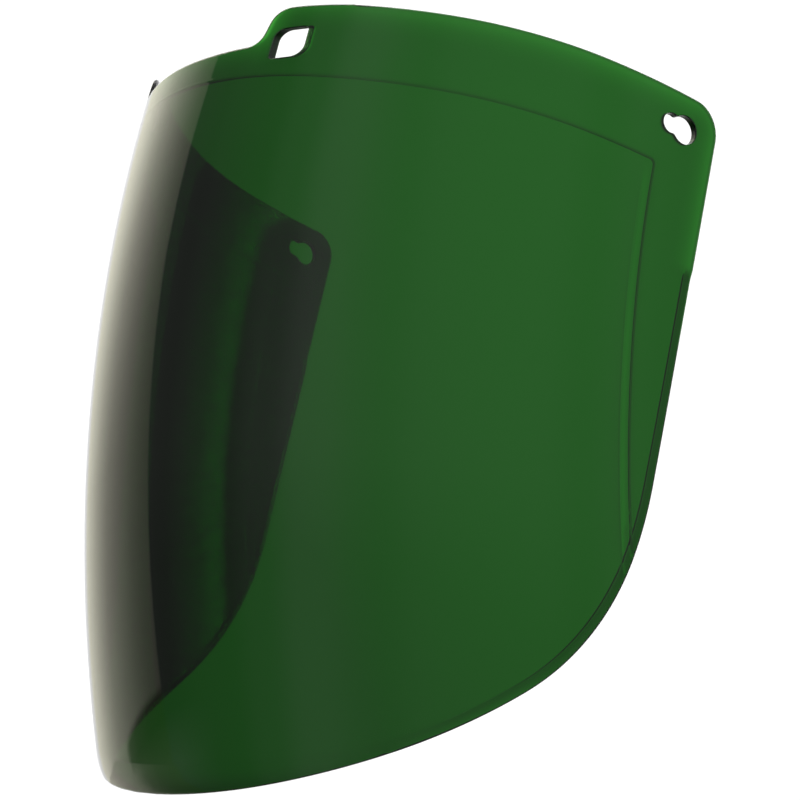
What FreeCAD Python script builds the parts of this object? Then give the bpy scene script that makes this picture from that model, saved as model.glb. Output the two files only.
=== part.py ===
import FreeCAD, Part
import math, os
import Sketcher

# Replacement window of a wrap-around face shield, moulded in one piece from
# green shaded polycarbonate. All lengths are in millimetres.
# Local frame of the body while it is drawn: X = 0 is the mid-plane, +X is one
# side of the head, Y runs from the front (0 at the foremost point of the
# bulge) to the back, Z is up with the chin edge at Z = chin_level.
# The finished body is placed so that the row's origin lies midway between the
# centres of the two stud holes.

doc = FreeCAD.newDocument("face_shield_window")
os.makedirs("parts", exist_ok=True)

# ------------------------------------------------------------------ parameters
CELLS = [
    # moulded skin
    ("thickness", 2.5),
    ("front_radius", 96.0), ("front_span", 35.81),
    ("cheek_radius", 147.0), ("cheek_span", 15.59),
    ("temple_radius", 111.0), ("temple_span", 25.81),
    ("side_radius", 192.0), ("side_span", 11.94),
    ("tail_length", 34.0),
    ("bulge_radius", 524.0), ("bulge_level", 134.6), ("sweep_angle", 37.0),
    # front part of the top edge and the two raised flaps
    ("chin_level", 20.0),
    ("brow_level", 251.7), ("brow_run", 33.3), ("brow_drop", 0.5),
    ("step_foot_x", 38.2), ("step_foot_z", 254.9), ("step_foot_radius", 4.9),
    ("step_head_x", 39.1), ("step_head_z", 258.5),
    ("flap_start_x", 45.3), ("flap_start_z", 263.1), ("flap_start_radius", 6.1),
    ("flap_mid_x", 65.3), ("flap_mid_z", 261.4), ("flap_bow_radius", 222.0),
    # side profile of the flap, the back corner, the back edge and the jaw line
    ("flap_side_y", 39.1), ("flap_side_z", 261.9),
    ("flap_back_y", 139.7), ("flap_back_z", 241.5),
    ("corner_end_y", 147.1), ("corner_end_z", 229.4), ("corner_radius", 10.2),
    ("back_low_y", 122.9), ("back_low_z", 117.3),
    ("jaw_one_y", 116.8), ("jaw_one_z", 97.0), ("jaw_one_radius", 133.0),
    ("jaw_two_y", 82.4), ("jaw_two_z", 54.6), ("jaw_two_radius", 89.2),
    ("jaw_three_y", 13.4), ("jaw_three_z", 20.06), ("jaw_three_radius", 335.6),
    # optical zone, a shallow recess of the outer face
    ("zone_depth", 0.1), ("zone_sweep", 23.2), ("zone_side_span", 6.57),
    # stud holes of the two sides (keyholes) and latch holes of the two flaps
    ("stud_hole_radius", 4.65), ("stud_hole_y", 133.6), ("stud_hole_z", 230.7),
    ("seat_radius", 3.2), ("seat_shift_y", 5.2), ("seat_shift_z", 1.25),
    ("latch_centre_x", 47.05), ("latch_centre_z", 250.4),
    ("latch_width", 10.2), ("latch_height", 10.0),
    ("latch_small_corner", 1.2), ("latch_large_corner", 3.6),
]
P = doc.addObject("Spreadsheet::Sheet", "Params")
for n, (alias, value) in enumerate(CELLS, start=1):
    P.set("A%d" % n, alias)
    P.set("B%d" % n, repr(float(value)))
    P.setAlias("B%d" % n, alias)
doc.recompute()


class Q:
    """A number together with the spreadsheet formula that gives it."""

    def __init__(self, v, f=None):
        self.v = float(v)
        self.f = f if f is not None else "(%s)" % repr(float(v))

    @staticmethod
    def of(o):
        return o if isinstance(o, Q) else Q(o)

    def __add__(self, o):
        o = Q.of(o)
        return Q(self.v + o.v, "(%s + %s)" % (self.f, o.f))

    def __sub__(self, o):
        o = Q.of(o)
        return Q(self.v - o.v, "(%s - %s)" % (self.f, o.f))

    def __mul__(self, o):
        o = Q.of(o)
        return Q(self.v * o.v, "(%s * %s)" % (self.f, o.f))

    def __truediv__(self, o):
        o = Q.of(o)
        return Q(self.v / o.v, "(%s / %s)" % (self.f, o.f))


def qsin(a):
    return Q(math.sin(math.radians(a.v)), "sin(%s * 1 deg)" % a.f)


def qcos(a):
    return Q(math.cos(math.radians(a.v)), "cos(%s * 1 deg)" % a.f)


par = {alias: Q(value, "Params.%s" % alias) for alias, value in CELLS}


def plane(body, role):
    for o in body.Origin.OriginFeatures:
        if o.Role == role:
            return o
    raise RuntimeError(role)


def new_sketch(body, name, role, level=None):
    s = body.newObject("Sketcher::SketchObject", name)
    s.AttachmentSupport = [(plane(body, role), "")]
    s.MapMode = "FlatFace"
    if level is not None:
        s.setExpression("AttachmentOffset.Base.z", level.f)
    doc.recompute()
    return s


def closed_loop(s, start, steps):
    """Draw a closed loop. Each step is (x, y) for a straight run to (x, y), or
    (x, y, radius, turn) for an arc, turn = +1 anticlockwise, -1 clockwise.
    Every corner and every radius is a constraint with a spreadsheet formula."""
    pts = [start] + [(q[0], q[1]) for q in steps]
    ids = []
    for k, q in enumerate(steps):
        (x0, y0), (x1, y1) = pts[k], pts[k + 1]
        a = FreeCAD.Vector(x0.v, y0.v, 0)
        b = FreeCAD.Vector(x1.v, y1.v, 0)
        if len(q) == 2:
            ids.append((s.addGeometry(Part.LineSegment(a, b), False), 1, 2))
            continue
        r, turn = q[2].v, q[3]
        d = b - a
        half = d.Length / 2.0
        off = math.sqrt(max(r * r - half * half, 0.0))
        nrm = FreeCAD.Vector(-d.y, d.x, 0) * (1.0 / d.Length)
        c = (a + b) * 0.5 + nrm * (off * turn)
        t0 = math.atan2(a.y - c.y, a.x - c.x)
        t1 = math.atan2(b.y - c.y, b.x - c.x)
        circle = Part.Circle(c, FreeCAD.Vector(0, 0, 1), r)
        if turn > 0:
            g = s.addGeometry(Part.ArcOfCircle(circle, t0, t1), False)
            ids.append((g, 1, 2))
        else:
            g = s.addGeometry(Part.ArcOfCircle(circle, t1, t0), False)
            ids.append((g, 2, 1))
    n = len(ids)
    for k in range(n):
        j = (k + 1) % n
        s.addConstraint(Sketcher.Constraint("Coincident", ids[k][0], ids[k][2], ids[j][0], ids[j][1]))
    for k in range(n):
        x, y = pts[k]
        for axis, val in (("X", x), ("Y", y)):
            c = s.addConstraint(Sketcher.Constraint("Distance" + axis, -1, 1, ids[k][0], ids[k][1], val.v))
            s.renameConstraint(c, "corner%d_%s" % (k, axis.lower()))
            s.setExpression("Constraints.corner%d_%s" % (k, axis.lower()), val.f)
    for k, q in enumerate(steps):
        if len(q) == 4:
            c = s.addConstraint(Sketcher.Constraint("Radius", ids[k][0], q[2].v))
            s.renameConstraint(c, "radius%d" % k)
            s.setExpression("Constraints.radius%d" % k, q[2].f)
    doc.recompute()


def plan_chain(spans, tail):
    """Points, headings and radii of the outer face at its widest level."""
    x, y, h = Q(0.0), Q(0.0), Q(0.0)
    out = [(x, y, h, None)]
    for radius, span in spans:
        h2 = h + span
        x = x + radius * (qsin(h2) - qsin(h))
        y = y + radius * (qcos(h) - qcos(h2))
        h = h2
        out.append((x, y, h, radius))
    if tail is not None:
        x = x + tail * qcos(h)
        y = y + tail * qsin(h)
        out.append((x, y, h, None))
    return out


def band(s, chain, outward, inward):
    """Closed band along the chain, from `outward` outside it to `inward` inside."""
    def shifted(node, d):
        x, y, h, _ = node
        return (x - d * qsin(h), y + d * qcos(h))
    steps = []
    for k in range(1, len(chain)):
        x, y = shifted(chain[k], outward * Q(-1.0))
        if chain[k][3] is None:
            steps.append((x, y))
        else:
            steps.append((x, y, chain[k][3] + outward, 1))
    for k in range(len(chain) - 1, 0, -1):
        if k == len(chain) - 1:
            steps.append(shifted(chain[k], inward))
        x, y = shifted(chain[k - 1], inward)
        if chain[k][3] is None:
            steps.append((x, y))
        else:
            steps.append((x, y, chain[k][3] - inward, -1))
    steps.append(shifted(chain[0], outward * Q(-1.0)))
    closed_loop(s, shifted(chain[0], outward * Q(-1.0)), steps)


def bulge_axis(s):
    """Construction line parallel to X, the axis the plan section is swept about."""
    y = par["bulge_radius"]
    g = s.addGeometry(Part.LineSegment(FreeCAD.Vector(0, y.v, 0), FreeCAD.Vector(50, y.v, 0)), True)
    s.addConstraint(Sketcher.Constraint("Horizontal", g))
    c = s.addConstraint(Sketcher.Constraint("DistanceY", -1, 1, g, 1, y.v))
    s.renameConstraint(c, "axis_y")
    s.setExpression("Constraints.axis_y", y.f)
    c = s.addConstraint(Sketcher.Constraint("DistanceX", -1, 1, g, 2, 50.0))
    s.renameConstraint(c, "axis_end")
    s.addConstraint(Sketcher.Constraint("PointOnObject", g, 1, -2))
    doc.recompute()


def volume(body):
    doc.recompute()
    return body.Shape.Volume


# ----------------------------------------------------------------- the window
body = doc.addObject("PartDesign::Body", "window")
body.Label = "window"
SPANS = [(par["front_radius"], par["front_span"]), (par["cheek_radius"], par["cheek_span"]),
         (par["temple_radius"], par["temple_span"]), (par["side_radius"], par["side_span"])]

# skin: the plan section swept about a far axis, which gives the second curve
plan = new_sketch(body, "plan_section", "XY_Plane", par["bulge_level"])
band(plan, plan_chain(SPANS, par["tail_length"]), Q(0.0), par["thickness"])
bulge_axis(plan)
skin = body.newObject("PartDesign::Revolution", "skin")
skin.Profile = plan
skin.ReferenceAxis = (plan, ["Axis0"])
skin.Midplane = True
skin.setExpression("Angle", "Params.sweep_angle")
v0 = volume(body)
print("skin volume", round(v0, 1))

# optical zone: shallow recess of the outer face with a crisp border
zone_plan = new_sketch(body, "zone_section", "XY_Plane", par["bulge_level"])
ZSPANS = SPANS[:3] + [(par["side_radius"], par["zone_side_span"])]
band(zone_plan, plan_chain(ZSPANS, None), Q(1.0), par["zone_depth"])
bulge_axis(zone_plan)
zone = body.newObject("PartDesign::Groove", "optical_zone")
zone.Profile = zone_plan
zone.ReferenceAxis = (zone_plan, ["Axis0"])
zone.Midplane = True
zone.setExpression("Angle", "Params.zone_sweep")
v1 = volume(body)
print("after zone", round(v1, 1))

# front of the top edge: low brow section, S-shaped step, start of the flap
top = par
front = new_sketch(body, "brow_outline", "XZ_Plane")
closed_loop(front, (Q(-5.0), par["brow_level"]), [
    (Q(5.0), par["brow_level"]),
    (par["brow_run"], par["brow_level"] - par["brow_drop"]),
    (par["step_foot_x"], par["step_foot_z"], par["step_foot_radius"], 1),
    (par["step_head_x"], par["step_head_z"]),
    (par["flap_start_x"], par["flap_start_z"], par["flap_start_radius"], -1),
    (par["flap_mid_x"], par["flap_mid_z"], par["flap_bow_radius"], -1),
    (par["flap_mid_x"], par["flap_mid_z"] + Q(60.0)),
    (Q(-5.0), par["flap_mid_z"] + Q(60.0)),
    (Q(-5.0), par["brow_level"])])
brow = body.newObject("PartDesign::Pocket", "brow_cut")
brow.Profile = front
brow.Type = 0
brow.Midplane = True
brow.Length = 600.0
v2 = volume(body)
print("after brow", round(v2, 1))

# side profile: flap top, back corner, back edge, jaw line and chin
side = new_sketch(body, "side_outline", "YZ_Plane")
closed_loop(side, (par["flap_side_y"], par["flap_side_z"]), [
    (par["flap_back_y"], par["flap_back_z"]),
    (par["corner_end_y"], par["corner_end_z"], par["corner_radius"], -1),
    (par["back_low_y"], par["back_low_z"]),
    (par["jaw_one_y"], par["jaw_one_z"], par["jaw_one_radius"], -1),
    (par["jaw_two_y"], par["jaw_two_z"], par["jaw_two_radius"], -1),
    (par["jaw_three_y"], par["jaw_three_z"], par["jaw_three_radius"], -1),
    (Q(-5.0), par["jaw_three_z"] - Q(6.6)),
    (Q(-5.0), Q(-60.0)),
    (Q(240.0), Q(-60.0)),
    (Q(240.0), Q(330.0)),
    (par["flap_side_y"], Q(330.0)),
    (par["flap_side_y"], par["flap_side_z"])])
trim = body.newObject("PartDesign::Pocket", "side_trim")
trim.Profile = side
trim.Type = 0
trim.Midplane = True
trim.Length = 600.0
v3 = volume(body)
print("after side trim", round(v3, 1))

# keyhole of the side: a round entry for the stud and a smaller seat in front
def round_hole(name, x, y, r):
    s = new_sketch(body, name + "_sketch", "YZ_Plane")
    g = s.addGeometry(Part.Circle(FreeCAD.Vector(x.v, y.v, 0), FreeCAD.Vector(0, 0, 1), r.v), False)
    for kind, val, nm in (("DistanceX", x, "centre_y"), ("DistanceY", y, "centre_z")):
        c = s.addConstraint(Sketcher.Constraint(kind, -1, 1, g, 3, val.v))
        s.renameConstraint(c, nm)
        s.setExpression("Constraints." + nm, val.f)
    c = s.addConstraint(Sketcher.Constraint("Radius", g, r.v))
    s.renameConstraint(c, "hole_radius")
    s.setExpression("Constraints.hole_radius", r.f)
    p = body.newObject("PartDesign::Pocket", name)
    p.Profile = s
    p.Type = 0
    p.Midplane = True
    p.Length = 600.0
    return p


round_hole("stud_hole", par["stud_hole_y"], par["stud_hole_z"], par["stud_hole_radius"])
round_hole("stud_seat", par["stud_hole_y"] - par["seat_shift_y"],
           par["stud_hole_z"] + par["seat_shift_z"], par["seat_radius"])
v4 = volume(body)
print("after keyhole", round(v4, 1))

# latch hole of the flap: square with one well rounded corner, cut straight back
cx, cz = par["latch_centre_x"], par["latch_centre_z"]
hw, hh = par["latch_width"] / Q(2.0), par["latch_height"] / Q(2.0)
ra, rb = par["latch_small_corner"], par["latch_large_corner"]
lx0, lx1, lz0, lz1 = cx - hw, cx + hw, cz - hh, cz + hh
latch = new_sketch(body, "latch_outline", "XZ_Plane")
closed_loop(latch, (lx0 + ra, lz0), [
    (lx1 - rb, lz0), (lx1, lz0 + rb, rb, 1),
    (lx1, lz1 - ra), (lx1 - ra, lz1, ra, 1),
    (lx0 + rb, lz1), (lx0, lz1 - rb, rb, 1),
    (lx0, lz0 + ra), (lx0 + ra, lz0, ra, 1)])
lp = body.newObject("PartDesign::Pocket", "latch_hole")
lp.Profile = latch
lp.Type = 0
lp.Midplane = True
lp.Length = 600.0
v5 = volume(body)
print("after latch hole", round(v5, 1))

# the other half
mirror = body.newObject("PartDesign::Mirrored", "other_half")
mirror.Originals = [skin, zone, brow, trim] + [o for o in doc.Objects if o.Name in ("stud_hole", "stud_seat", "latch_hole")]
mirror.MirrorPlane = (plane(body, "YZ_Plane"), [""])
body.Tip = mirror
v6 = volume(body)
print("after mirror", round(v6, 1))

body.setExpression("Placement.Base.y", "-Params.stud_hole_y")
body.setExpression("Placement.Base.z", "-Params.stud_hole_z")
doc.recompute()
print(body.Shape.BoundBox, body.Shape.isValid(), body.Shape.ShapeType, len(body.Shape.Solids), len(body.Shape.Faces))
for o in doc.Objects:
    if "Invalid" in o.State or "Error" in o.State:
        raise RuntimeError("%s %s" % (o.Name, o.State))
if body.Shape.isNull() or not body.Shape.isValid():
    raise RuntimeError("window shape")
body.Shape.exportStep("parts/window.step")
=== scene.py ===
import bpy
import math
import numpy as np
from mathutils import Matrix, Vector
from mathutils.geometry import delaunay_2d_cdt


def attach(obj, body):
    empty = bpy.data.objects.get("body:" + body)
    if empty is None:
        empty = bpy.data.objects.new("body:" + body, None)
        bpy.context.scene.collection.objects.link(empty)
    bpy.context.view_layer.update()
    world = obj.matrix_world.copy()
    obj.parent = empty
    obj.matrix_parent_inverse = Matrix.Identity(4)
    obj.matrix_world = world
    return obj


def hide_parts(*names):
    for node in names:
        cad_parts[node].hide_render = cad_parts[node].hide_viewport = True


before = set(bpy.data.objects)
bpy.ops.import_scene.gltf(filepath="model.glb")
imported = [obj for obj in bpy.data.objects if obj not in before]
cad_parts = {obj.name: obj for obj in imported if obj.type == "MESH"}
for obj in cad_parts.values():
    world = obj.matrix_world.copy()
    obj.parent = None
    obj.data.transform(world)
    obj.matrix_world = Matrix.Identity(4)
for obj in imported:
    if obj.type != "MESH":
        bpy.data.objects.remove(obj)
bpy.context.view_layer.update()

# ---------------------------------------------------------------------------
# The window's surface, in millimetres. a runs along the plan section from the
# mid-plane, phi is the sweep about the far axis. Y and Z are measured from the
# chin point on the mid-plane and moved to the row frame at the end.
# ---------------------------------------------------------------------------
SPANS = [(96.0, math.radians(35.81)), (147.0, math.radians(15.59)),
         (111.0, math.radians(25.81)), (192.0, math.radians(11.94))]
THICK = 2.5
BULGE_R, BULGE_Z = 524.0, 114.6
BULGE_Y = math.sqrt(BULGE_R ** 2 - BULGE_Z ** 2)
STUD_Y, STUD_Z = 120.92, 210.7


def plan(a):
    """Place and heading of the outer face in the plan section."""
    s = np.sign(a)
    rem = np.abs(np.asarray(a, float)).copy()
    x = np.zeros_like(rem)
    y = np.zeros_like(rem)
    h = np.zeros_like(rem)
    for r, span in SPANS:
        d = np.clip(rem, 0.0, r * span)
        h2 = h + d / r
        x += r * (np.sin(h2) - np.sin(h))
        y += r * (np.cos(h) - np.cos(h2))
        h = h2
        rem = rem - d
    x += rem * np.cos(h)
    y += rem * np.sin(h)
    return x * s, y, h * s


TA = np.linspace(0.0, 230.0, 23001)
TX, TY, TH = plan(TA)


def depth_at(a, phi, depth):
    """Point at a depth below the outer face, in mm."""
    x, y, h = plan(a)
    x = x - depth * np.sin(h)
    rho = BULGE_R - (y + depth * np.cos(h))
    return np.stack([x, BULGE_Y - rho * np.cos(phi), BULGE_Z + rho * np.sin(phi)], -1)


def rho_at(a):
    return BULGE_R - plan(a)[1]


def from_side(y, z, depth):
    """(a, phi) of the point at that depth whose side view is (y, z), a > 0."""
    rho = np.hypot(BULGE_Y - y, z - BULGE_Z)
    a = np.interp(BULGE_R - rho, TY + depth * np.cos(TH), TA)
    return np.stack([a, np.arctan2(z - BULGE_Z, BULGE_Y - y)], -1)


def from_front(x, z, depth):
    """(a, phi) of the point at that depth whose front view is (x, z), x >= 0."""
    a = np.interp(x, TX - depth * np.sin(TH), TA)
    _, y, h = plan(a)
    rho = BULGE_R - (y + depth * np.cos(h))
    return np.stack([a, np.arcsin((z - BULGE_Z) / rho)], -1)


# ------------------------------------------------------------------ outlines
def run(pts, step=1.2):
    """Dense points of a chain of (x, y) or (x, y, radius, turn), first point kept."""
    out = [np.array([pts[0][:2]], float)]
    for q0, q1 in zip(pts, pts[1:]):
        a, b = np.array(q0[:2], float), np.array(q1[:2], float)
        if len(q1) == 2:
            n = max(1, int(math.ceil(np.linalg.norm(b - a) / step)))
            t = np.arange(1, n + 1)[:, None] / n
            out.append(a + (b - a) * t)
            continue
        r, turn = q1[2], q1[3]
        d = b - a
        half = np.linalg.norm(d) / 2
        nrm = np.array([-d[1], d[0]]) / (2 * half)
        c = (a + b) / 2 + nrm * turn * math.sqrt(max(r * r - half * half, 0.0))
        t0 = math.atan2(a[1] - c[1], a[0] - c[0])
        t1 = math.atan2(b[1] - c[1], b[0] - c[0])
        if turn > 0 and t1 < t0:
            t1 += 2 * math.pi
        if turn < 0 and t1 > t0:
            t1 -= 2 * math.pi
        n = max(2, int(math.ceil(abs(t1 - t0) * r / min(step, max(0.2 * r, 0.25)))))
        t = t0 + (t1 - t0) * np.arange(1, n + 1) / n
        out.append(np.stack([c[0] + r * np.cos(t), c[1] + r * np.sin(t)], -1))
    return np.concatenate(out)


FRONT_LINE = [(0.0, 231.7), (5.0, 231.7), (33.3, 231.2), (38.2, 234.9, 4.9, 1), (39.1, 238.5),
              (45.3, 243.1, 6.1, -1), (65.3, 241.4, 222.0, -1)]
SIDE_LINE = [(26.42, 241.9), (127.02, 221.5), (134.42, 209.4, 10.2, -1), (110.22, 97.3),
             (104.12, 77.0, 133.0, -1), (69.72, 34.6, 89.2, -1), (0.72, 0.06, 335.6, -1), (-3.0, -1.28)]


def outline(depth, step):
    """The rim on the face at that depth, anticlockwise in (a, phi) from the chin."""
    f, s = run(FRONT_LINE, step), run(SIDE_LINE, step)
    if depth > 0:
        f, s = f[f[:, 0] < 62.5], s[int(np.argmax(s[:, 0] > 29.5)):]
    over = BULGE_R - np.hypot(BULGE_Y - s[:, 0], s[:, 1] - BULGE_Z) - depth
    k = int(np.argmax(over[len(over) // 2:] < 0)) + len(over) // 2
    t = over[k - 1] / (over[k - 1] - over[k])
    chin = s[k - 1] + (s[k] - s[k - 1]) * t
    s = np.concatenate([s[:k] if t > 0.3 else s[:k - 1], chin[None]])
    f = from_front(f[:, 0], f[:, 1], depth)
    s = from_side(s[:, 0], s[:, 1], depth)
    f = f[f[:, 0] < s[0, 0] - 0.3]
    half = np.concatenate([f, s])
    half[0, 0] = 0.0
    half[-1, 0] = 0.0
    # anticlockwise: from the chin out along +a up to the brow, then back along -a
    return np.concatenate([half[::-1], half[1:-1] * np.array([-1.0, 1.0])])


def keyhole():
    c1, r1 = np.array([STUD_Y, STUD_Z]), 4.65
    c2, r2 = np.array([STUD_Y - 5.2, STUD_Z + 1.25]), 3.2
    rf = 1.6
    d = c2 - c1
    dist = np.linalg.norm(d)
    u = d / dist
    v = np.array([-u[1], u[0]])
    along = ((r1 + rf) ** 2 - (r2 + rf) ** 2 + dist ** 2) / (2 * dist)
    off = math.sqrt((r1 + rf) ** 2 - along ** 2)
    pts = []
    f_up, f_dn = c1 + u * along + v * off, c1 + u * along - v * off
    t1u, t2u = c1 + (f_up - c1) * r1 / (r1 + rf), c2 + (f_up - c2) * r2 / (r2 + rf)
    t1d, t2d = c1 + (f_dn - c1) * r1 / (r1 + rf), c2 + (f_dn - c2) * r2 / (r2 + rf)

    def arc(c, r, p, q, turn, n):
        t0, t1 = math.atan2(*(p - c)[::-1]), math.atan2(*(q - c)[::-1])
        while turn > 0 and t1 <= t0:
            t1 += 2 * math.pi
        while turn < 0 and t1 >= t0:
            t1 -= 2 * math.pi
        t = t0 + (t1 - t0) * np.arange(0, n) / n
        return np.stack([c[0] + r * np.cos(t), c[1] + r * np.sin(t)], -1)
    # u points to -Y (forward), v = u turned left; the loop goes round the big circle first
    pts.append(arc(c1, r1, t1u, t1d, 1, 56))
    pts.append(arc(f_dn, rf, t1d, t2d, -1, 8))
    pts.append(arc(c2, r2, t2d, t2u, 1, 36))
    pts.append(arc(f_up, rf, t2u, t1u, -1, 8))
    loop = np.concatenate(pts)
    return loop


def latch():
    cx, cz, hw, hh, ra, rb = 47.05, 230.4, 5.1, 5.0, 1.2, 3.6
    x0, x1, z0, z1 = cx - hw, cx + hw, cz - hh, cz + hh
    p = run([(x0 + ra, z0), (x1 - rb, z0), (x1, z0 + rb, rb, 1), (x1, z1 - ra), (x1 - ra, z1, ra, 1),
             (x0 + rb, z1), (x0, z1 - rb, rb, 1), (x0, z0 + ra), (x0 + ra, z0, ra, 1)], 0.6)
    return p[:-1]


def area2(p):
    q = np.roll(p, -1, 0)
    return float((p[:, 0] * q[:, 1] - q[:, 0] * p[:, 1]).sum())


def holes(depth):
    """The four holes' rims on the face at that depth, clockwise in (a, phi)."""
    out = []
    for h, f in ((keyhole(), from_side), (latch(), from_front)):
        p = f(h[:, 0], h[:, 1], depth)
        if area2(p) > 0:
            p = p[::-1]
        out.append(p)
        out.append((p * np.array([-1.0, 1.0]))[::-1])
    return out


def under(outer, fine):
    """For each point of a rim loop, the point of the inner face's loop across the wall."""
    x, y, h = plan(outer[:, 0])
    ph = outer[:, 1]
    n = np.stack([np.sin(h), -np.cos(h) * np.cos(ph), np.cos(h) * np.sin(ph)], -1)
    want = depth_at(outer[:, 0], ph, 0.0) - n * THICK
    q0 = depth_at(fine[:, 0], fine[:, 1], THICK)
    e = np.roll(q0, -1, 0) - q0
    ee = np.maximum((e * e).sum(1), 1e-12)
    f1 = np.roll(fine, -1, 0)
    out = np.empty_like(outer)
    for i in range(0, len(outer), 200):
        v = want[i:i + 200, None, :] - q0[None]
        t = np.clip((v * e[None]).sum(2) / ee[None], 0, 1)
        d2 = ((v - t[..., None] * e[None]) ** 2).sum(2)
        j = d2.argmin(1)
        tt = t[np.arange(len(j)), j][:, None]
        out[i:i + 200] = fine[j] * (1 - tt) + f1[j] * tt
    return out


OUTER = [outline(0.0, 1.2)] + holes(0.0)
INNER = [under(OUTER[0], outline(THICK, 0.25))] + holes(THICK)
RHO0 = 470.0
EDGE_R = [1.0, 0.5, 0.5, 0.5, 0.5]   # rounding of the outline and of each hole's edges
FILLET, WALL = 5, 2


def inward(loop):
    """Unit normals of a loop into the material, in mm of surface."""
    rho = rho_at(loop[:, 0])
    p = np.stack([loop[:, 0], loop[:, 1]], -1)
    d = np.roll(p, -1, 0) - np.roll(p, 1, 0)
    d[:, 1] *= rho
    d /= np.linalg.norm(d, axis=1)[:, None]
    n = np.stack([-d[:, 1], d[:, 0]], -1)
    return n, rho


def inset(loop, dist):
    n, rho = inward(loop)
    dist = np.broadcast_to(np.asarray(dist, float), (len(loop),))
    out = loop.copy()
    out[:, 0] += n[:, 0] * dist
    out[:, 1] += n[:, 1] * dist / rho
    return out


# ------------------------------------------------------ shape of both faces
ZONE_A, ZONE_CORNER = 173.8, 2.0
ZONE_TOP, ZONE_BOTTOM = math.radians(11.88), math.radians(11.6)
LINE_H, LINE_W = 0.20, 0.33        # witness line round the optical zone, on the inside
GROOVE_IN, GROOVE_H = 3.5, 0.13    # fine groove just within the line on each side
RIM_WIDTH, RIM_THICK = 3.2, 0.52   # turned-in rim along the rear and jaw edges
TAPER_W, TAPER = 11.0, 0.75        # the wall thins towards the flap's edges


def zone_inside(a, phi):
    """Distance inside the border of the optical zone, in mm of surface."""
    rho = rho_at(a)
    da = ZONE_A - np.abs(a)
    dp = (np.where(phi > 0, ZONE_TOP, ZONE_BOTTOM) - np.abs(phi)) * rho
    r = ZONE_CORNER
    corner = r - np.hypot(np.maximum(r - da, 0), np.maximum(r - dp, 0))
    return np.where((da < r) & (dp < r), corner, np.minimum(da, dp))


def zone_contour(d, step):
    """Points of the zone's border moved in by d."""
    r = ZONE_CORNER
    out = []
    for sa in (-1, 1):
        for sp in (-1, 1):
            if d < r:
                t = np.linspace(0, math.pi / 2, 9)
                a = ZONE_A - (r - (r - d) * np.cos(t))
                dp = r - (r - d) * np.sin(t)
                out.append(np.stack([sa * a, sp * ((ZONE_TOP if sp > 0 else ZONE_BOTTOM) - dp / rho_at(a))], -1))
    reach = max(r, d)
    for sa in (-1, 1):
        back = reach / rho_at(np.array([ZONE_A]))[0]
        n = int((ZONE_TOP + ZONE_BOTTOM) * RHO0 / step)
        out.append(np.stack([np.full(n, sa * (ZONE_A - d)), np.linspace(-ZONE_BOTTOM + back, ZONE_TOP - back, n)], -1))
    n = int(2 * (ZONE_A - reach) / step)
    aa = np.linspace(-(ZONE_A - reach), ZONE_A - reach, n)
    for sp in (-1, 1):
        out.append(np.stack([aa, sp * ((ZONE_TOP if sp > 0 else ZONE_BOTTOM) - d / rho_at(aa))], -1))
    return np.concatenate(out)


def smooth(t):
    t = np.clip(t, 0, 1)
    return t * t * (3 - 2 * t)


def soft_plus(x, soft):
    return 0.5 * (x + np.sqrt(x * x + soft * soft))


def rim_data(loop, depth):
    p = depth_at(loop[:, 0], loop[:, 1], depth)
    return p, smooth((166.5 - p[:, 2]) / 4.0) * smooth((p[:, 2] - 12.0) / 14.0)


RIMS = {False: rim_data(OUTER[0], 0.0), True: rim_data(INNER[0], THICK)}


def rim_distance(a, phi, inner):
    """Distance to the face's own edge in mm, and how much of the rim there is."""
    p = depth_at(a, phi, THICK if inner else 0.0)
    q0, w0 = RIMS[inner]
    q1, w1 = np.roll(q0, -1, 0), np.roll(w0, -1)
    e = q1 - q0
    ee = np.maximum((e * e).sum(1), 1e-12)
    dist = np.empty(len(p))
    wid = np.empty(len(p))
    for i in range(0, len(p), 400):
        v = p[i:i + 400, None, :] - q0[None]
        t = np.clip((v * e[None]).sum(2) / ee[None], 0, 1)
        d2 = ((v - t[..., None] * e[None]) ** 2).sum(2)
        j = d2.argmin(1)
        r = np.arange(len(j))
        dist[i:i + 400] = np.sqrt(d2[r, j])
        wid[i:i + 400] = w0[j] * (1 - t[r, j]) + w1[j] * t[r, j]
    return dist, wid


def sunk(a, phi, near, inner):
    """How far the moulded face lies inside the plain surface, in mm."""
    aa = np.abs(a)
    h = np.zeros(len(a))
    # the strip under the optical zone turns in towards the chin
    t = soft_plus((-phi - ZONE_BOTTOM) * rho_at(a), 0.5)
    chin = 1 - smooth((aa - 90.0) / 30.0)
    h += chin * (0.05 * t + (0.012 if inner else 0.004) * t * t)
    z = zone_inside(a, phi)
    amount = np.where(phi < 0, 0.35 + 0.65 * smooth((aa - 60.0) / 60.0), 1.0)
    line = amount * np.exp(-(z / LINE_W) ** 2)
    g = (ZONE_A - aa - GROOVE_IN) / 0.42
    groove = smooth((ZONE_TOP - phi) * rho_at(a) / 14.0) * np.exp(-g * g)
    if inner:
        h += LINE_H * line - GROOVE_H * groove
    else:
        h -= 0.02 * line
    if near.any():
        d, has = rim_distance(a[near], phi[near], inner)
        low = smooth((40.0 - depth_at(a[near], phi[near], 0.0)[:, 2]) / 20.0)
        s = soft_plus((RIM_WIDTH - d) / RIM_WIDTH, 0.05)
        drop = has * RIM_WIDTH * (0.05 * s + 0.08 * s * s)
        if inner:
            drop += has * RIM_THICK * smooth(s / 0.27) * (1 - 1.7 * np.minimum(s, 1))
            drop -= (1 - has) * (1 - low) * TAPER * np.clip(1 - d / TAPER_W, 0, 1) ** 2
        lip = (1 - smooth((aa[near] - 80.0) / 25.0)) * (phi[near] < 0)
        drop += lip * 0.38 * np.clip(1 - d / 4.5, 0, 1) ** 2
        h[near] += drop
    return h


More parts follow.
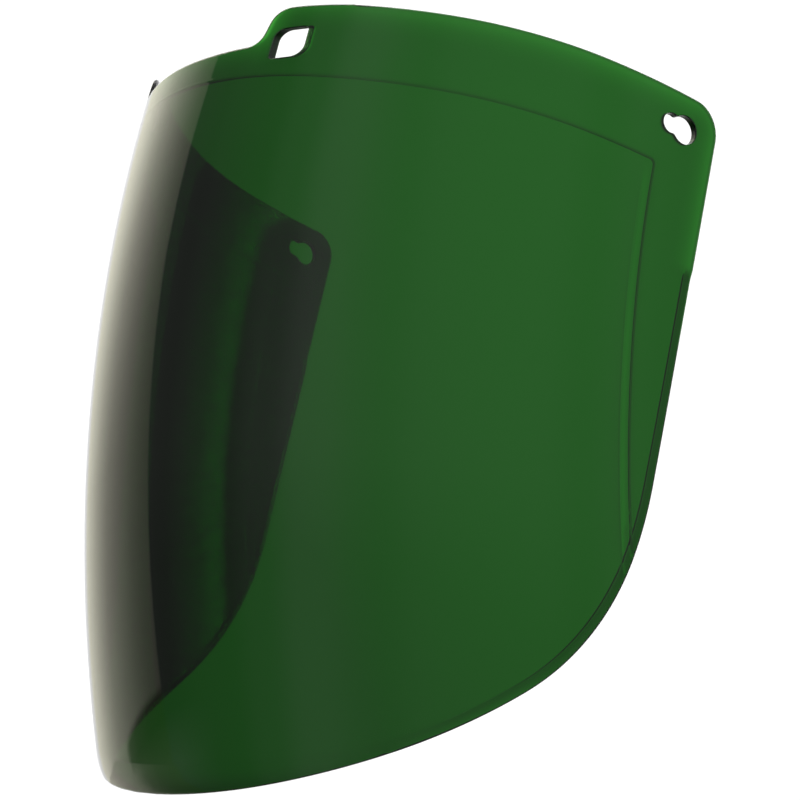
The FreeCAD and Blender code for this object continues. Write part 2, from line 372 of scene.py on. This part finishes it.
def face(q, inner, near=None):
    """Points and outward normals of one face at (a, phi)."""
    a, phi = q[:, 0], q[:, 1]
    if near is None:
        near = np.zeros(len(q), bool)

    def at(aa, pp):
        x, y, h = plan(aa)
        n = np.stack([np.sin(h), -np.cos(h) * np.cos(pp), np.cos(h) * np.sin(pp)], -1)
        return depth_at(aa, pp, THICK if inner else 0.0) - n * sunk(aa, pp, near, inner)[:, None]
    p = at(a, phi)
    e = 0.04
    da = at(a + e, phi) - at(a - e, phi)
    dp = at(a, phi + e / RHO0) - at(a, phi - e / RHO0)
    n = np.cross(da, dp)
    n /= np.linalg.norm(n, axis=1)[:, None]
    if inner:
        n = -n
    return p, n


# ------------------------------------------------------------- mesh building
def mm(q):
    return np.stack([q[:, 0], q[:, 1] * RHO0], -1)


def polygon_has(poly, pts):
    inside = np.zeros(len(pts), bool)
    x, y = pts[:, 0], pts[:, 1]
    q = np.roll(poly, -1, 0)
    for (x0, y0), (x1, y1) in zip(poly, q):
        if y0 == y1:
            continue
        c = (y0 > y) != (y1 > y)
        if c.any():
            inside ^= c & (x < x0 + (y - y0) * (x1 - x0) / (y1 - y0))
    return inside


def away(pts, others, dist):
    """Mask of pts at least dist from every point of others."""
    keep = np.ones(len(pts), bool)
    for i in range(0, len(pts), 500):
        d = pts[i:i + 500, None, :] - others[None]
        keep[i:i + 500] = ((d * d).sum(2).min(1) > dist * dist)
    return keep


def skin(edge_loops, inner):
    """Triangles of one face. The loops' own points come first, in order."""
    base = [mm(l) for l in edge_loops]
    n_edge = sum(len(b) for b in base)
    rings = []
    for k, l in enumerate(edge_loops):
        if k == 0:
            r0 = EDGE_R[0]
            w = RIM_WIDTH
            for d in (0.42 * w, 0.58 * w, w - 1.05, w - 0.7, w - 0.38, w - 0.12, w + 0.15, w + 0.5, w + 1.2, w + 2.4):
                rings.append((mm(inset(l, d - r0)), 0.26))
        else:
            for d in (0.45, 1.0, 1.8):
                rings.append((mm(inset(l, d)), 0.3))
    polys = base
    fixed = np.concatenate(base)

    def legal(p):
        ok = polygon_has(polys[0], p)
        for h in polys[1:]:
            ok &= ~polygon_has(h, p)
        return ok
    cloud = fixed
    for r, gap in rings:
        r = r[legal(r)]
        r = r[away(r, cloud, gap)]
        cloud = np.concatenate([cloud, r])
    for d in (0.0, -0.2, 0.2, -0.42, 0.42, -0.8, 0.8):
        r = mm(zone_contour(d, 1.1))
        r = r[legal(r)]
        cloud = np.concatenate([cloud, r[away(r, cloud, 0.15)]])
    for d in (0.0, -0.2, 0.2, -0.42, 0.42, 0.8):
        r = zone_contour(GROOVE_IN + d, 1.1)
        r = mm(r[np.abs(r[:, 0]) > 163.0])
        r = r[legal(r)]
        cloud = np.concatenate([cloud, r[away(r, cloud, 0.15)]])
    aa = np.linspace(-112.0, 112.0, 161)
    for d in (0.4, 1.0, 1.8, 3.0, 4.5, 6.2):
        r = mm(np.stack([aa, -ZONE_BOTTOM - d / rho_at(aa)], -1))
        r = r[legal(r)]
        cloud = np.concatenate([cloud, r[away(r, cloud, 0.5)]])
    step = 3.0
    lo, hi = polys[0].min(0), polys[0].max(0)
    grid = []
    half = int(max(abs(lo[0]), hi[0]) / step) + 1
    for j, y in enumerate(np.arange(lo[1], hi[1], step * 0.866)):
        xs = (np.arange(-half, half + 1) + (0.5 if j % 2 else 0.0)) * step
        grid.append(np.stack([xs, np.full(len(xs), y)], -1))
    grid = np.concatenate(grid)
    grid = grid[legal(grid)]
    grid = grid[away(grid, cloud, 1.7)]
    cloud = np.concatenate([cloud, grid])

    n_fixed = len(fixed)
    _, first = np.unique(np.round(cloud[n_fixed:] / 0.12).astype(int), axis=0, return_index=True)
    cloud = np.concatenate([fixed, cloud[n_fixed:][np.sort(first)]])

    edges = []
    at = 0
    for b in base:
        edges += [(at + i, at + (i + 1) % len(b)) for i in range(len(b))]
        at += len(b)
    verts, _, tris, ids, _, _ = delaunay_2d_cdt([Vector(p) for p in cloud], edges, [], 0, 1e-7, True)
    verts = np.array([tuple(v) for v in verts])
    tris = np.array([t for t in tris], int)
    if len(verts) != len(cloud) or any(len(i) != 1 or i[0] != k for k, i in enumerate(ids)):
        order = {}
        for k, i in enumerate(ids):
            for j in i:
                order[j] = k
        if len(verts) != len(cloud) or len(order) != len(cloud):
            raise RuntimeError("the face mesh has %d points for %d" % (len(verts), len(cloud)))
        back = np.empty(len(verts), int)
        for j, k in order.items():
            back[k] = j
        tris = back[tris]
        verts = cloud
    mid = verts[tris].mean(1)
    tris = tris[legal(mid)]
    v = verts[tris]
    ccw = ((v[:, 1, 0] - v[:, 0, 0]) * (v[:, 2, 1] - v[:, 0, 1]) - (v[:, 1, 1] - v[:, 0, 1]) * (v[:, 2, 0] - v[:, 0, 0]))
    tris = tris[np.abs(ccw) > 1e-9]
    ccw = ccw[np.abs(ccw) > 1e-9]
    tris[ccw < 0] = tris[ccw < 0][:, ::-1]
    q = np.stack([verts[:, 0], verts[:, 1] / RHO0], -1)
    near = ~away(mm(q), mm(INNER[0] if inner else OUTER[0]), TAPER_W + 2.5)
    p, n = face(q, inner, near)
    return p, n, tris, n_edge, len(grid)




def build_window():
    out_edges = [inset(l, r) for l, r in zip(OUTER, EDGE_R)]
    in_edges = [inset(l, r) for l, r in zip(INNER, EDGE_R)]
    po, no, to, n_edge, _ = skin(out_edges, False)
    pi, ni, ti, n_edge2, _ = skin(in_edges, True)
    if n_edge != n_edge2:
        raise RuntimeError("the two faces have different rims")
    points, normals, trims, faces = [po], [no], [np.zeros(len(po))], [list(map(tuple, to))]
    n_out = len(po)
    count = n_out
    strips = []
    at = 0
    for k, (lo_, li_) in enumerate(zip(OUTER, INNER)):
        n = len(lo_)
        near = np.full(n, k == 0)
        co, cno = face(lo_, False, near)
        ci, cni = face(li_, True, near)
        r_edge = np.minimum(EDGE_R[k], 0.46 * np.linalg.norm(ci - co, axis=1))[:, None]
        w = ci - co
        length = np.linalg.norm(w, axis=1)[:, None]
        w = w / length
        tang = np.roll(co, -1, 0) - np.roll(co, 1, 0)
        tang /= np.linalg.norm(tang, axis=1)[:, None]
        wn = np.cross(w, tang)
        wn /= np.linalg.norm(wn, axis=1)[:, None]
        a0, b0 = po[at:at + n], pi[at:at + n]
        na, nb = no[at:at + n], ni[at:at + n]
        mid = co - a0
        wn *= np.sign((wn * mid).sum(1))[:, None]
        rows_p, rows_n, rows_t = [], [], []
        a1, b1 = co + w * r_edge, ci - w * r_edge
        for t in np.arange(1, FILLET + 1) / FILLET:
            rows_p.append((1 - t) ** 2 * a0 + 2 * t * (1 - t) * co + t * t * a1)
            m = np.cos(t * math.pi / 2) * na + np.sin(t * math.pi / 2) * wn
            rows_n.append(m / np.linalg.norm(m, axis=1)[:, None])
            rows_t.append(max(0.0, 2.0 * t - 1.0))
        for t in np.arange(1, WALL) / WALL:
            rows_p.append(a1 * (1 - t) + b1 * t)
            rows_n.append(wn)
            rows_t.append(1.0)
        for t in np.arange(0, FILLET) / FILLET:
            rows_p.append((1 - t) ** 2 * b1 + 2 * t * (1 - t) * ci + t * t * b0)
            m = np.cos(t * math.pi / 2) * wn + np.sin(t * math.pi / 2) * nb
            rows_n.append(m / np.linalg.norm(m, axis=1)[:, None])
            rows_t.append(max(0.0, 1.0 - 2.0 * t))
        strips.append((at, n, count, len(rows_p)))
        for rp, rn, rt in zip(rows_p, rows_n, rows_t):
            points.append(rp)
            normals.append(rn)
            trims.append(np.full(n, rt))
            count += n
        at += n
    base_in = count
    points.append(pi)
    normals.append(ni)
    trims.append(np.zeros(len(pi)))
    faces.append([tuple(base_in + i for i in t[::-1]) for t in ti])
    quads = []
    for at, n, first, rows in strips:
        ring = [at + np.arange(n)] + [first + r * n + np.arange(n) for r in range(rows)] + [base_in + at + np.arange(n)]
        for r0, r1 in zip(ring, ring[1:]):
            for i in range(n):
                j = (i + 1) % n
                quads.append((int(r0[j]), int(r0[i]), int(r1[i]), int(r1[j])))
    p = np.concatenate(points)
    nrm = np.concatenate(normals)
    allf = [tuple(int(i) for i in f) for f in faces[0]] + quads + [tuple(int(i) for i in f) for f in faces[1]]
    p = (p - np.array([0.0, STUD_Y, STUD_Z])) / 1000.0
    me = bpy.data.meshes.new("window_moulding")
    me.from_pydata([tuple(v) for v in p], [], allf)
    me.validate(verbose=False)
    me.update()
    if len(me.vertices) != len(p):
        raise RuntimeError("the mesh lost points")
    me.polygons.foreach_set("use_smooth", np.ones(len(me.polygons), bool))
    me.normals_split_custom_set_from_vertices([tuple(v) for v in nrm])
    me.attributes.new("trim", "FLOAT", "POINT").data.foreach_set("value", np.concatenate(trims).astype(np.float32))
    ob = bpy.data.objects.new("window_moulding", me)
    bpy.context.scene.collection.objects.link(ob)
    return ob


window = build_window()
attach(window, "root")
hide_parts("window")

# ------------------------------------------------------------------ material
mat = bpy.data.materials.new("shaded_polycarbonate")
mat.use_nodes = True
nt = mat.node_tree
nt.nodes.clear()
out = nt.nodes.new("ShaderNodeOutputMaterial")
bsdf = nt.nodes.new("ShaderNodeBsdfPrincipled")
bsdf.inputs["Transmission Weight"].default_value = 1.0
bsdf.inputs["IOR"].default_value = 1.586
# moulded faces are polished; the trimmed edges are satin, and their tint, a little darker and yellower, is painted
# light standing in for the yellow-green glow piped out along the cut edges and the dark look of the hole walls
trim = nt.nodes.new("ShaderNodeAttribute")
trim.attribute_name = "trim"
place = nt.nodes.new("ShaderNodeTexCoord")
haze = nt.nodes.new("ShaderNodeTexNoise")
haze.inputs["Scale"].default_value = 55.0
haze.inputs["Detail"].default_value = 6.0
haze.inputs["Roughness"].default_value = 0.6
nt.links.new(place.outputs["Object"], haze.inputs["Vector"])
polish = nt.nodes.new("ShaderNodeMapRange")
polish.inputs["From Min"].default_value = 0.42
polish.inputs["From Max"].default_value = 0.75
polish.inputs["To Min"].default_value = 0.0
polish.inputs["To Max"].default_value = 0.035
nt.links.new(haze.outputs["Fac"], polish.inputs["Value"])
satin = nt.nodes.new("ShaderNodeMix")
satin.inputs[3].default_value = 0.34
nt.links.new(trim.outputs["Fac"], satin.inputs[0])
nt.links.new(polish.outputs[0], satin.inputs[2])
nt.links.new(satin.outputs[0], bsdf.inputs["Roughness"])
# painted edge light: the trim colour tints the cut edges darker and yellower in place of the light piped along them
tint_with_painted_edge_light = nt.nodes.new("ShaderNodeMix")
tint_with_painted_edge_light.data_type = "RGBA"
tint_with_painted_edge_light.inputs[6].default_value = (0.90, 0.97, 0.90, 1.0)
tint_with_painted_edge_light.inputs[7].default_value = (0.80, 0.86, 0.55, 1.0)
nt.links.new(trim.outputs["Fac"], tint_with_painted_edge_light.inputs[0])
nt.links.new(tint_with_painted_edge_light.outputs[2], bsdf.inputs["Base Color"])
# the faint long waves of a large moulding, and a fine grain on the trimmed edges
wave = nt.nodes.new("ShaderNodeTexNoise")
wave.inputs["Scale"].default_value = 16.0
wave.inputs["Detail"].default_value = 1.0
nt.links.new(place.outputs["Object"], wave.inputs["Vector"])
swell = nt.nodes.new("ShaderNodeBump")
swell.inputs["Strength"].default_value = 1.0
swell.inputs["Distance"].default_value = 0.00006
nt.links.new(wave.outputs["Fac"], swell.inputs["Height"])
grain = nt.nodes.new("ShaderNodeTexNoise")
grain.inputs["Scale"].default_value = 900.0
grain.inputs["Detail"].default_value = 3.0
nt.links.new(place.outputs["Object"], grain.inputs["Vector"])
cut = nt.nodes.new("ShaderNodeBump")
cut.inputs["Distance"].default_value = 0.0001
nt.links.new(trim.outputs["Fac"], cut.inputs["Strength"])
nt.links.new(grain.outputs["Fac"], cut.inputs["Height"])
nt.links.new(swell.outputs[0], cut.inputs["Normal"])
nt.links.new(cut.outputs[0], bsdf.inputs["Normal"])
vol = nt.nodes.new("ShaderNodeVolumeAbsorption")
SIG = tuple(math.log(1 / t) / 2.62e-3 for t in (0.0030, 0.0690, 0.0022))
DENS = 3000.0
vol.inputs["Color"].default_value = (1 - SIG[0] / DENS, 1 - SIG[1] / DENS, 1 - SIG[2] / DENS, 1.0)
vol.inputs["Density"].default_value = DENS
nt.links.new(bsdf.outputs[0], out.inputs["Surface"])
nt.links.new(vol.outputs[0], out.inputs["Volume"])
window.data.materials.append(mat)

# --------------------------------------------------------------------- floor
fl = bpy.data.meshes.new("floor")
R, N = 2.6, 96
ring = [(R * math.cos(2 * math.pi * i / N), R * math.sin(2 * math.pi * i / N), -0.30) for i in range(N)]
fl.from_pydata(ring, [], [tuple(range(N))])
floor = bpy.data.objects.new("floor", fl)
bpy.context.scene.collection.objects.link(floor)
fm = bpy.data.materials.new("floor_paper")
fm.use_nodes = True
fb = fm.node_tree.nodes["Principled BSDF"]
fb.inputs["Base Color"].default_value = (0.93, 0.93, 0.93, 1)
fb.inputs["Roughness"].default_value = 0.9
fb.inputs["Specular IOR Level"].default_value = 0.0
floor.data.materials.append(fm)
floor.visible_glossy = False
floor.visible_transmission = False   # so no edge of the sheet shows through the window

# --------------------------------------------------------------------- light
world = bpy.data.worlds.new("studio")
bpy.context.scene.world = world
world.use_nodes = True
wn = world.node_tree
wn.nodes.clear()
wo = wn.nodes.new("ShaderNodeOutputWorld")
bg = wn.nodes.new("ShaderNodeBackground")
mix = wn.nodes.new("ShaderNodeMix")
mix.data_type = "RGBA"
lp = wn.nodes.new("ShaderNodeLightPath")
tc = wn.nodes.new("ShaderNodeTexCoord")
sep = wn.nodes.new("ShaderNodeSeparateXYZ")


def wmath(op, a, b=None, c=None, clamp=False):
    n = wn.nodes.new("ShaderNodeMath")
    n.operation = op
    n.use_clamp = clamp
    for i, v in enumerate((a, b, c)):
        if v is None:
            continue
        if isinstance(v, (int, float)):
            n.inputs[i].default_value = v
        else:
            wn.links.new(v, n.inputs[i])
    return n.outputs[0]


wn.links.new(tc.outputs["Generated"], sep.inputs[0])
X, Y, Z = sep.outputs[0], sep.outputs[1], sep.outputs[2]
AZ = wmath("MULTIPLY", wmath("ARCTAN2", X, wmath("MULTIPLY", Y, -1.0)), 180.0 / math.pi)
EL = wmath("MULTIPLY", wmath("ARCSINE", Z), 180.0 / math.pi)


def wrange(v, f0, f1, t0, t1, kind="LINEAR"):
    n = wn.nodes.new("ShaderNodeMapRange")
    n.interpolation_type = kind
    for name, x in (("From Min", f0), ("From Max", f1), ("To Min", t0), ("To Max", t1)):
        n.inputs[name].default_value = x
    wn.links.new(v, n.inputs["Value"])
    return n.outputs[0]


def by_azimuth(stops, top=2.5):
    """A radiance that changes with azimuth, from (azimuth, value) stops."""
    n = wn.nodes.new("ShaderNodeFloatCurve")
    c = n.mapping.curves[0]
    n.mapping.use_clip = False
    pts = [((az + 180.0) / 360.0, v / top) for az, v in stops]
    c.points[0].location = pts[0]
    c.points[1].location = pts[-1]
    for p in pts[1:-1]:
        c.points.new(*p)
    for p in c.points:
        p.handle_type = "VECTOR"
    n.mapping.update()
    wn.links.new(wmath("DIVIDE", wmath("ADD", AZ, 180.0), 360.0), n.inputs["Value"])
    return wmath("MULTIPLY", n.outputs[0], top)


def blend(f, a, b):
    return wmath("ADD", wmath("MULTIPLY", wmath("SUBTRACT", 1.0, f), a), wmath("MULTIPLY", f, b))


# a tall white panel to the left, darker studio to the right, white again behind
panel = by_azimuth([(-180, 1.15), (-125, 1.1), (-108, 1.08), (-100, 1.25), (-92, 1.37), (-85, 1.35), (-78, 1.2),
                    (-71, 1.0), (-63, 0.85), (-56, 0.7), (-50, 0.55), (-45, 0.45), (-40, 0.39), (-30, 0.36), (180, 0.36)])
away_az = wmath("DIVIDE", wmath("ADD", AZ, 82.0), 25.0)
hump = wmath("POWER", 2.71828, wmath("MULTIPLY", wmath("MULTIPLY", away_az, away_az), -1.0))
panel = wmath("ADD", panel, wmath("MULTIPLY", hump, wmath("MULTIPLY", wmath("MINIMUM", wmath("MAXIMUM", wmath("SUBTRACT", EL, 5.0), 0.0), 22.0), 0.03)))
room = by_azimuth([(-180, 0.17), (-30, 0.17), (-26, 0.19), (0, 0.20), (8, 0.27), (15, 0.28), (22, 0.42), (30, 0.42), (37, 0.35),
                   (45, 0.31), (54, 0.35), (99, 0.35), (110, 0.30), (118, 0.34), (128, 0.28), (146, 0.20), (160, 0.25), (172, 0.6), (180, 1.1)])
room = wmath("MULTIPLY", room, wrange(EL, -3.0, 6.0, 0.80, 1.0))
edge_az = wmath("SUBTRACT", -40.0, wmath("MULTIPLY", wmath("MINIMUM", EL, 20.0), 0.23))
right_of = wrange(wmath("SUBTRACT", AZ, edge_az), -0.8, 0.8, 0.0, 1.0, "SMOOTHSTEP")
wall = blend(right_of, panel, room)
low = by_azimuth([(-180, 1.0), (-70, 0.9), (-65, 0.8), (-57, 0.43), (-47, 0.31), (-36, 0.30), (-15, 0.30), (60, 0.24), (140, 0.26), (180, 1.0)])
low = wmath("MULTIPLY", low, wrange(EL, -18.0, -50.0, 1.0, 0.3))
low = wmath("MULTIPLY", low, wmath("MAXIMUM", wrange(EL, -14.0, -18.5, 0.4, 1.0), wrange(AZ, -66.0, -61.0, 1.0, 0.0)))
below = wrange(EL, -11.4, -12.4, 0.0, 1.0, "SMOOTHSTEP")
mirror = blend(wmath("MULTIPLY", below, wrange(AZ, -32.0, -12.0, 1.0, 0.0)), wall, low)
# a narrow lamp behind, met only by light that has already been through the window
inside = wmath("GREATER_THAN", lp.outputs["Transmission Depth"], 0.5)
behind = wrange(AZ, 118.0, 124.0, 0.0, 1.0)
lamp = by_azimuth([(-180, 0.1), (100, 1.0), (135, 1.1), (140.2, 1.1), (140.9, 6.6), (142.2, 6.2), (145.7, 4.3), (151.5, 2.4),
                   (157.5, 1.6), (163, 0.7), (170, 0.15), (180, 0.1)], 10.0)
mirror = blend(wmath("MULTIPLY", inside, behind), mirror, lamp)
# the panel is a warm white, except past its far edge
warm = wmath("MULTIPLY", wrange(AZ, -104.0, -98.0, 0.0, 1.0), wmath("SUBTRACT", 1.0, right_of))
cool = wmath("SUBTRACT", 1.0, wmath("MULTIPLY", warm, 0.19))
tinted = wn.nodes.new("ShaderNodeCombineColor")
wn.links.new(mirror, tinted.inputs[0])
wn.links.new(wmath("MULTIPLY", mirror, wmath("SUBTRACT", 1.0, wmath("MULTIPLY", warm, 0.02))), tinted.inputs[1])
wn.links.new(wmath("MULTIPLY", mirror, cool), tinted.inputs[2])

# what shows through the window: white, a little stronger up and to the right
WHITE = 1.15
FWD, RIGHT, UP = (-0.80363, 0.57268, 0.16191), (0.58504, 0.81009, 0.0385), (0.10911, -0.12566, 0.98605)


def along(v):
    return wmath("ADD", wmath("ADD", wmath("MULTIPLY", X, v[0]), wmath("MULTIPLY", Y, v[1])), wmath("MULTIPLY", Z, v[2]))


u = wmath("DIVIDE", along(RIGHT), 0.2235)
v = wmath("DIVIDE", along(UP), 0.2235)
lean = wmath("ADD", wmath("MULTIPLY", u, 0.77), wmath("MULTIPLY", v, 0.30))
lean = wmath("MULTIPLY", wmath("MAXIMUM", wmath("MINIMUM", lean, 1.0), -0.30), wrange(along(FWD), 0.86, 0.95, 0.0, 1.0, "SMOOTHSTEP"))
through = wmath("ADD", 1.05, lean)
through_ray = wmath("MULTIPLY", lp.outputs["Is Transmission Ray"], wmath("SUBTRACT", 1.0, lp.outputs["Is Diffuse Ray"]))
plain = blend(through_ray, WHITE, through)
mirror_ray = wmath("MULTIPLY", lp.outputs["Is Reflection Ray"], wmath("SUBTRACT", 1.0, lp.outputs["Is Diffuse Ray"]))
plain_colour = wn.nodes.new("ShaderNodeCombineColor")
for i in range(3):
    wn.links.new(plain, plain_colour.inputs[i])
wn.links.new(mirror_ray, mix.inputs[0])
wn.links.new(plain_colour.outputs[0], mix.inputs[6])
wn.links.new(tinted.outputs[0], mix.inputs[7])
wn.links.new(mix.outputs[2], bg.inputs[0])
wn.links.new(bg.outputs[0], wo.inputs[0])

scene = bpy.context.scene
scene.view_settings.view_transform = "Standard"

# -------------------------------------------------------------------- camera
cam = bpy.data.cameras.new("camera")
cam.sensor_width = 36.0
cam.lens = 1746.53 * 36.0 / 800.0
cam.clip_start, cam.clip_end = 0.01, 50.0
co = bpy.data.objects.new("camera", cam)
scene.collection.objects.link(co)
fwd = Vector((-0.80363, 0.57268, 0.16191)).normalized()
up = Vector((0.10911, -0.12566, 0.98605))
right = fwd.cross(up).normalized()
up = right.cross(fwd).normalized()
m = Matrix((right, up, -fwd)).transposed().to_4x4()
m.translation = Vector((0.489075, -0.254098 - 0.12092, 0.035255 - 0.2107))
co.matrix_world = m
scene.camera = co
